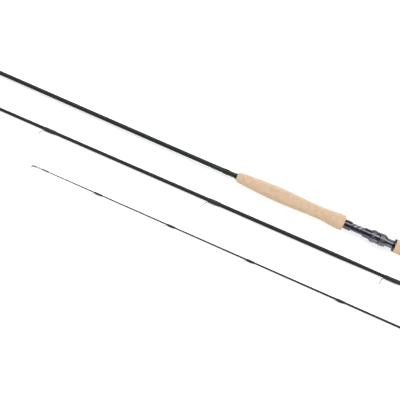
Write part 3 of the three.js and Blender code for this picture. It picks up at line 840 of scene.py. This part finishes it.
def add_fixed_hood():
    """The hood whose sleeve is let into the rear of the grip, with a groove at each end of its cup."""
    start, mouth = span("fixed_hood")
    grip_end = span(f"grip_ring_{GRIP_RINGS}")[1]
    sleeve = 7.35
    cup_floor = grip_end + 0.8
    seat_part("fixed_hood", [
        (start, BLANK_BORE), (start, sleeve), (grip_end + 0.2, sleeve), (grip_end + 0.2, 7.75),
        (grip_end + 1.2, 8.1), *groove(grip_end + 2.6, 8.1, 8.1, 0.25),
        *groove(mouth - 3.4, 8.3, 8.35, 0.25), (mouth - 0.3, 8.35), (mouth, 8.1),
        (mouth, HOOD_BORE), (cup_floor, HOOD_BORE), (cup_floor, BLANK_BORE)],
        SEAT_METAL, round_mm=0.3)


def add_sliding_hood():
    """The hood that the lock nut pushes, with one groove and a flange at its rear."""
    start, end = span("sliding_hood")
    outer, flange = 8.19, 8.98
    seat_part("sliding_hood", [
        (start, HOOD_BORE), (start, 7.95), (start + 0.5, 8.0), (start + 3, outer),
        *groove(start + 4.2, outer, outer, 0.21), (end - 2, outer), (end - 1.5, flange - 0.03),
        (end, flange), (end, HOOD_BORE)],
        SEAT_METAL, body="sliding_hood", round_mm=0.2)


def add_insert():
    """The insert under the reel foot: a cylinder with a milled flat that ramps down under each hood."""
    start, end = span("seat_insert")
    outer, bore = 6.88, 4.62
    flat_height, flat_end = 5.6, 6.3
    fixed_mouth = span("fixed_hood")[1]
    sliding_mouth = span("sliding_hood")[0]
    under_hood = 13
    flat = [
        (fixed_mouth - under_hood, flat_end), (fixed_mouth + 0.3, flat_height),
        (sliding_mouth - 0.3, flat_height), (end + 1.3, flat_end)]
    count = 64
    xs = [start + (end - start) * i / count for i in range(count + 1)]

    def radius(x, angle, i):
        if i >= len(xs):
            return bore
        facing = math.cos(angle - DOWN)
        limit = value_at(flat, x) / facing if facing > 0.2 else outer
        return min(outer, limit)

    verts, faces = wall(xs + [end, start], radius, 192)
    uvs = [(math.atan2(z, y) * outer, x) for x, y, z in verts]
    piece = add_piece("seat_insert", "butt_section", verts, faces, WEAVE, sharp=25, uvs=uvs)
    seam_fix(piece, TAU * outer)


def seam_fix(piece, around_mm):
    """Carries the unrolled pattern across the seam, where the angle jumps by a full turn."""
    layer = piece.data.uv_layers["unrolled"]
    for polygon in piece.data.polygons:
        loops = list(polygon.loop_indices)
        values = [layer.data[i].uv[0] for i in loops]
        if max(values) - min(values) > around_mm / 2:
            for i in loops:
                if layer.data[i].uv[0] < 0:
                    layer.data[i].uv[0] += around_mm


def add_barrel():
    """The threaded barrel: a right-hand thread that fades out over its last turn at each end."""
    start, end = span("threaded_barrel")
    pitch = 1.5
    major, depth, bore = 7.49, 0.4, 6.4
    crest, root = 0.12, 0.88     # where the flank starts and ends between a crest's middle and a root's
    per_turn = 10
    count = int((end - start) / pitch * per_turn)
    xs = [start + (end - start) * i / count for i in range(count + 1)]

    def radius(x, angle, i):
        if i >= len(xs):
            return bore
        turn = (x / pitch - angle / TAU) % 1
        cut = smoothstep(crest, root, abs(turn - 0.5) * 2)
        fade = smoothstep(start, start + pitch, x) * (1 - smoothstep(end - pitch, end, x))
        return major - depth * cut * fade

    verts, faces = wall(xs + [end, start], radius, 72)
    add_piece("threaded_barrel", "butt_section", verts, faces, BARREL_METAL, sharp=75)


def fluted(name, outline, band_start, band_end):
    """A turned nut whose grip band has rounded flutes all round."""
    flutes = 24
    depth = 0.25
    step = 0.8
    skin = 1.2     # how far below the nut's outer radius a flute can still reach
    points = rounded(outline, 0.22)
    fine = []
    for (x0, r0), (x1, r1) in zip(points, points[1:] + points[:1]):
        pieces = max(int(abs(x1 - x0) / step), 1)
        fine += [(x0 + (x1 - x0) * i / pieces, r0 + (r1 - r0) * i / pieces) for i in range(pieces)]
    radii = [r for _, r in fine]
    outer = max(radii)

    def radius(x, angle, i):
        if radii[i] < outer - skin:
            return radii[i]
        rise = smoothstep(band_start - 0.15, band_start + 0.35, x)
        fall = 1 - smoothstep(band_end - 0.35, band_end + 0.15, x)
        flute = abs(math.cos(angle * flutes / 2)) ** 6
        return radii[i] - depth * flute * rise * fall

    verts, faces = wall([x for x, _ in fine], radius, flutes * 8)
    add_piece(name, "butt_section", verts, faces, NUT_METAL, body=name, sharp=40)


def add_nuts():
    """The lock nut, the slip washer and the jam nut. Behind its flutes each nut has a plain hub."""
    margin = 1.1     # from the end of the grip band to its flutes
    start, end = span("lock_nut")
    waist = start + 7.8
    outer = 10.75
    fluted("lock_nut", [
        (start, NUT_BORE), (start, 10.3), (start + 0.5, outer), (waist - 0.5, outer),
        (waist, 10.45), (waist + 0.3, 9.9), (waist + 0.7, 10.1), (end - 0.3, 10.15), (end, 9.9),
        (end, NUT_BORE)], start + margin, waist - margin)
    start, end = span("slip_washer")
    inner, outer = 7.9, 9.85
    washer = [(start, inner), (start, outer), (end, outer), (end, inner)]
    seat_part("slip_washer", washer, NYLON, body="slip_washer", round_mm=0.2)
    start, end = span("jam_nut")
    waist = end - 2.5
    outer = 10.55
    fluted("jam_nut", [
        (start, NUT_BORE), (start, 10.0), (start + 0.5, outer), (waist - 0.5, outer),
        (waist, 10.2), (waist + 0.3, 9.6), (end - 0.4, 9.75), (end, 9.4),
        (end, NUT_BORE)], start + margin, waist - margin)


def add_end_collar():
    """The dark collar between the barrel and the fighting butt, which flares towards its rear."""
    start, end = span("end_collar")
    bore, outer = 4.7, 11.26
    seat_part("end_collar", [
        (start, bore), (start, 9.3), (start + 1.4, outer - 0.06), (start + 1.8, outer),
        (end - 0.5, outer), (end, 11.0), (end, bore)], COLLAR_METAL, round_mm=0.3)


def add_fighting_butt():
    """Two rings of cork and a domed rubber cap with one groove round it."""
    cork_radius = 11.65
    first_seed = 20     # past the grip's rings, so that no pit repeats
    for i in range(2):
        name = f"fighting_butt_ring_{i + 1}"
        add_cork_ring(name, first_seed + i, BLANK_BORE, lambda x: cork_radius)
    start, end = span("butt_cap")
    shoulder = span("fighting_butt_ring_2")[1] + 0.18
    tenon, face, outer = 4.25, 9.0, 11.74
    groove_floor = outer - 0.25
    dome_length = 4
    steps = 8
    dome = []
    for i in range(steps + 1):
        angle = math.pi / 2 * i / steps
        x = end - dome_length + dome_length * math.sin(angle)
        dome.append((x, face + (outer - face) * math.cos(angle)))
    outline = [
        (start, 0), (start, tenon), (shoulder, tenon), (shoulder, outer - 0.3), (shoulder + 0.3, outer),
        (shoulder + 3, outer), (shoulder + 3.2, groove_floor), (shoulder + 3.8, groove_floor),
        (shoulder + 4, outer), *dome, (end, 0)]
    add_piece("butt_cap", "butt_section", *capped(outline), RUBBER)


def add_arbor():
    """The arbor is hidden inside the barrel, so its CAD body stands for it and only takes a finish."""
    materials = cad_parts["seat_arbor"].data.materials
    materials.clear()
    materials.append(ARBOR["material"])


# ---------- surroundings ----------
def add_floor():
    """A pale table that glows a little, so that the shadows on it stay faint."""
    half = 6
    corners = [(-half, -half, 0), (half, -half, 0), (half, half, 0), (-half, half, 0)]
    mesh = bpy.data.meshes.new("floor")
    mesh.from_pydata(corners, [], [(0, 1, 2, 3)])
    floor = bpy.data.objects.new("floor", mesh)
    bpy.context.scene.collection.objects.link(floor)
    pale = Nodes("floor_pale", Roughness=0.9, Specular_IOR_Level=0.0)
    pale.shader.inputs["Base Color"].default_value = (*gray(0.8), 1)
    pale.shader.inputs["Emission Color"].default_value = (*gray(1), 1)
    pale.shader.inputs["Emission Strength"].default_value = 0.62
    mesh.materials.append(pale.material)


def add_world():
    """A dim studio with two strips of light along X: a bright one high towards +Y, a low one at -Y."""
    world = bpy.data.worlds.new("studio")
    bpy.context.scene.world = world
    world.use_nodes = True
    tree = world.node_tree
    coordinate = tree.nodes.new("ShaderNodeTexCoord")
    split = tree.nodes.new("ShaderNodeSeparateXYZ")
    tree.links.new(coordinate.outputs["Generated"], split.inputs[0])
    angle = tree.nodes.new("ShaderNodeMath")
    angle.operation = "ARCTAN2"
    tree.links.new(split.outputs["Y"], angle.inputs[0])
    tree.links.new(split.outputs["Z"], angle.inputs[1])
    turn = tree.nodes.new("ShaderNodeMapRange")
    turn.inputs["From Min"].default_value = -math.pi / 2
    turn.inputs["From Max"].default_value = math.pi / 2
    tree.links.new(angle.outputs[0], turn.inputs["Value"])
    ramp = tree.nodes.new("ShaderNodeValToRGB")
    elements = ramp.color_ramp.elements
    while len(elements) < len(STUDIO):
        elements.new(0.5)
    for element, (degrees, brightness) in zip(elements, STUDIO):
        element.position = (degrees + 90) / 180
        element.color = (*gray(brightness / STUDIO_PEAK), 1)
    tree.links.new(turn.outputs["Result"], ramp.inputs["Fac"])
    sky = tree.nodes["Background"]
    tree.links.new(ramp.outputs["Color"], sky.inputs["Color"])
    sky.inputs["Strength"].default_value = STUDIO_PEAK


def add_camera():
    """Looks straight down, at a point beside the front of the grip."""
    front = SECTIONS["butt_section"] @ Vector((GRIP_FRONT * MM, 0, 0))
    camera = bpy.data.cameras.new("camera")
    camera.sensor_width = 36
    camera.lens = camera.sensor_width * VIEW_DISTANCE / VIEW_WIDTH
    camera.clip_end = 20
    holder = bpy.data.objects.new("camera", camera)
    bpy.context.scene.collection.objects.link(holder)
    holder.location = (front.x + VIEW_PAST_GRIP, front.y + VIEW_BESIDE_GRIP, front.z + VIEW_DISTANCE)
    holder.rotation_euler = (0, 0, VIEW_TURN)
    bpy.context.scene.camera = holder


add_camera()
add_floor()
add_world()
bpy.context.scene.view_settings.view_transform = "Standard"
add_blanks()
add_guides()
add_tip_top()
add_plain_wrap("middle_section", "middle_ferrule_wrap", THREAD, 0.5)
add_plain_wrap("tip_section", "tip_ferrule_wrap", THREAD, 0.5)
add_grip()
add_winding_check()
add_trim_wrap()
add_fixed_hood()
add_sliding_hood()
add_insert()
add_barrel()
add_nuts()
add_end_collar()
add_fighting_butt()
add_arbor()
